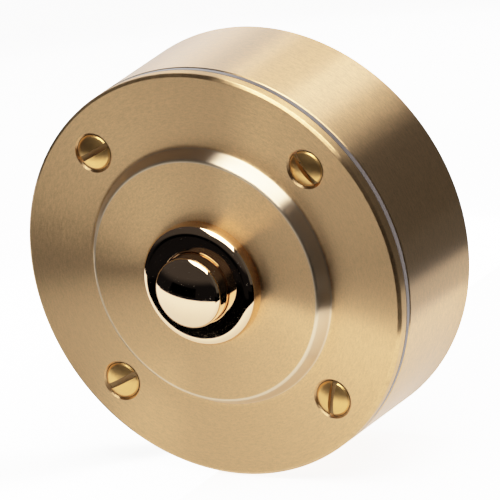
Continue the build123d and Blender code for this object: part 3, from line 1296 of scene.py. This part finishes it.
@dataclass
class Studio:
    """Camera, floor, light and film of the picture."""

    roll_degrees: float = 7.53
    azimuth: float = 29.18
    elevation: float = 23.21
    distance: float = 2.4
    lens: float = 924.0
    sensor_width: float = 36.0
    clip: Span = (0.05, 20.0)
    aim_level: float = 27.4
    aim_right: float = 6.957
    aim_up: float = 4.806
    floor_level: float = -40.2
    floor_side: float = 3000.0
    floor_tones: tuple[Colour, Colour] = ((0.90, 0.89, 0.88), (0.93, 0.92, 0.91))
    floor_cloud: float = 0.02
    floor_roughness: float = 0.9
    floor_glow: Colour = (1.0, 0.995, 0.985)
    floor_strength: float = 2.4
    room_tones: tuple[Colour, Colour] = ((0.0055, 0.0057, 0.0075), (0.055, 0.052, 0.056))
    room_fade: Span = (0.0, 0.25)
    backdrop_white: float = 6.0
    film_white: float = 6.5
    film_levels: Numbers = (0.12, 0.3, 0.6, 1.0, 1.5, 2.2, 3.2, 4.6)
    cards: tuple[Card, ...] = (
        table_card("table", (0, 88), (-135, 45)),
        table_card("table_edge", (88, 108), (-135, 45), SeenBy.ALL_BUT_BEZEL),
        Card("table_rim", ring_card((108, 120), (-135, -60)), TABLE_GLOW, SeenBy.BUTTON),
        Card("table_right", ring_card((108, 190), (3, 45)), 1.35, SeenBy.ALL_BUT_BEZEL),
        Card("floor_right", ring_card((190, 800), (-20, 60)), 0.18, SeenBy.SATIN),
        Card("table_dim", ring_card((108, 190), (-60, 3)), 0.07, SeenBy.SATIN),
        Card("table_behind", ring_card((0, 170), (45, 68)), 0.9, SeenBy.SATIN),
        table_card("table_left", (0, 120), (68, 165)),
        table_card("table_near_left", (0, 125), (165, 203)),
        Card("floor_left", ring_card((125, 240), (150, 190)), 1.6, SeenBy.SATIN),
        table_card("table_front_left", (0, 120), (203, 225), SeenBy.POLISHED),
        Card("floor_behind", ring_card((240, 800), (105, 140)), 1.6, SeenBy.SATIN),
        Card("floor_in_front", ring_card((145, 800), (225, 270)), 1.0, SeenBy.SATIN),
        Card("backdrop_left", back_card((-700, -350), 800, (-40, 800)), 2.6),
        Card("backdrop_mid", back_card((-350, -100), 800, (200, 800)), 1.3),
        Card("backdrop_low", back_card((-100, 160), 800, (200, 450)), 1.6),
        Card("backdrop_high", back_card((-100, 160), 800, (450, 800)), 4.2),
        Card("left_wall", side_card(-700, (300, 800), (-40, 800)), 2.7),
        Card("right_wall", side_card(700, (300, 800), (-40, 800)), 0.25),
        Card("right_front", side_card(700, (-300, 300), (-40, 800)), 0.1),
        Card(
            "overhead",
            ((-120, -600, 800), (620, -500, 800), (535, -40, 800), (-390, 190, 800)), 10.0,
        ),
        Card(
            "overhead_back",
            ((-390, 190, 800), (535, -40, 800), (450, 500, 800), (-480, 450, 800)), 10.0,
            SeenBy.POLISHED,
        ),
        Card("overhead_far_left", level_card((-700, 0), (500, 800), 800), 1.3),
        Card("overhead_far_right", level_card((0, 700), (520, 800), 800), 1.0),
    )

    def roll(self) -> Matrix:
        """Turn from the photograph's frame to the CAD frame."""
        return Matrix.Rotation(math.radians(self.roll_degrees), 4, "Y")

    def add_camera(self) -> None:
        """Put the camera where the photograph was taken."""
        az, el = math.radians(self.azimuth), math.radians(self.elevation)
        back = Vector((math.sin(az) * math.cos(el), -math.cos(az) * math.cos(el), math.sin(el)))
        right = Vector((0.0, 0.0, 1.0)).cross(back).normalized()
        up = back.cross(right)
        aim = Vector((0.0, -self.aim_level, 0.0)) + right * self.aim_right + up * self.aim_up
        place = aim * MM + back * self.distance
        look = Matrix((right, up, back)).transposed().to_4x4()
        data = bpy.data.cameras.new("camera")
        data.lens = self.lens
        data.sensor_width = self.sensor_width
        data.clip_start, data.clip_end = self.clip
        camera = bpy.data.objects.new("camera", data)
        bpy.context.scene.collection.objects.link(camera)
        camera.matrix_world = self.roll() @ Matrix.Translation(place) @ look
        bpy.context.scene.camera = camera

    def add_floor(self) -> None:
        """Lay the plain pale floor."""
        side = (-self.floor_side, self.floor_side)
        corners = level_card(side, side, self.floor_level)
        mesh = bpy.data.meshes.new("floor")
        mesh.from_pydata([Vector(corner) * MM for corner in corners], [], [(0, 1, 2, 3)])
        graph = Graph(bpy.data.materials.new("floor"))
        cloud = graph.noise(graph.place(), self.floor_cloud)
        mesh.materials.append(graph.surface({
            "Base Color": graph.mix(cloud, *self.floor_tones),
            "Roughness": self.floor_roughness,
            "Emission Color": self.floor_glow,
            "Emission Strength": self.floor_strength,
        }))
        floor = add_object("floor", mesh, Matrix.Identity(4))
        floor.visible_glossy = False

    def add_world(self) -> None:
        """White for the camera, and for everything else a room, dim above and dark below."""
        world = bpy.data.worlds.new("room")
        graph = Graph(world)
        way = graph.signal("ShaderNodeTexCoord", {}, {}, "Generated")
        height = graph.signal("ShaderNodeSeparateXYZ", {}, {0: way}, "Z")
        dim = graph.mix(height.ramp(*self.room_fade), *self.room_tones)
        room, white = (
            graph.signal("ShaderNodeBackground", {}, {"Color": colour, "Strength": strength})
            for colour, strength in ((dim, 1.0), (WHITE, self.backdrop_white))
        )
        camera = graph.signal("ShaderNodeLightPath", {}, {}, "Is Camera Ray")
        seen = graph.signal("ShaderNodeMixShader", {}, {0: camera, 1: room, 2: white})
        graph.node("ShaderNodeOutputWorld", {}, {"Surface": seen})
        bpy.context.scene.world = world

    def set_film(self) -> None:
        """Film response: straight in the shadows, with a soft shoulder."""
        view = bpy.context.scene.view_settings
        view.view_transform = "Standard"
        view.look = "None"
        view.use_curve_mapping = True
        mapping = view.curve_mapping
        mapping.white_level = (self.film_white,) * 3
        curve = mapping.curves[3]
        for level in self.film_levels:
            curve.points.new(level / self.film_white, 1.0 - math.exp(-level))
        mapping.update()

    def build(
        self, satin: list[Piece], screws: Piece, bezel: Piece,
        button: Piece,
    ) -> None:
        """Set the whole studio up.

        Args:
            satin: plate, drum and gasket.
            screws: the plate's screws.
            bezel: the polished bezel.
            button: the polished button.
        """
        self.set_film()
        self.add_world()
        self.add_camera()
        self.add_floor()
        groups = {}
        for seen_by, pieces in (
            (SeenBy.SATIN, satin), (SeenBy.POLISHED, [screws, bezel, button]),
            (SeenBy.BUTTON, [button]), (SeenBy.ALL_BUT_BEZEL, [*satin, screws, button]),
        ):
            groups[seen_by] = bpy.data.collections.new(seen_by.value)
            for piece in pieces:
                groups[seen_by].objects.link(piece)
        for card in self.cards:
            card.build(self.roll(), groups)
        LOG.info("studio: floor, %d panels and the camera", len(self.cards))


def main() -> None:
    """Build the bell push and its studio, piece by piece."""
    logging.basicConfig(level=logging.INFO, format="%(name)s: %(message)s")
    finishes = Finishes()
    plate, screws = Cover().build(finishes)
    drum, gasket = Drum().build(finishes)
    bezel, button = Switch().build(finishes)
    Studio().build([plate, drum, gasket], screws, bezel, button)


if __name__ == "__main__":
    main()
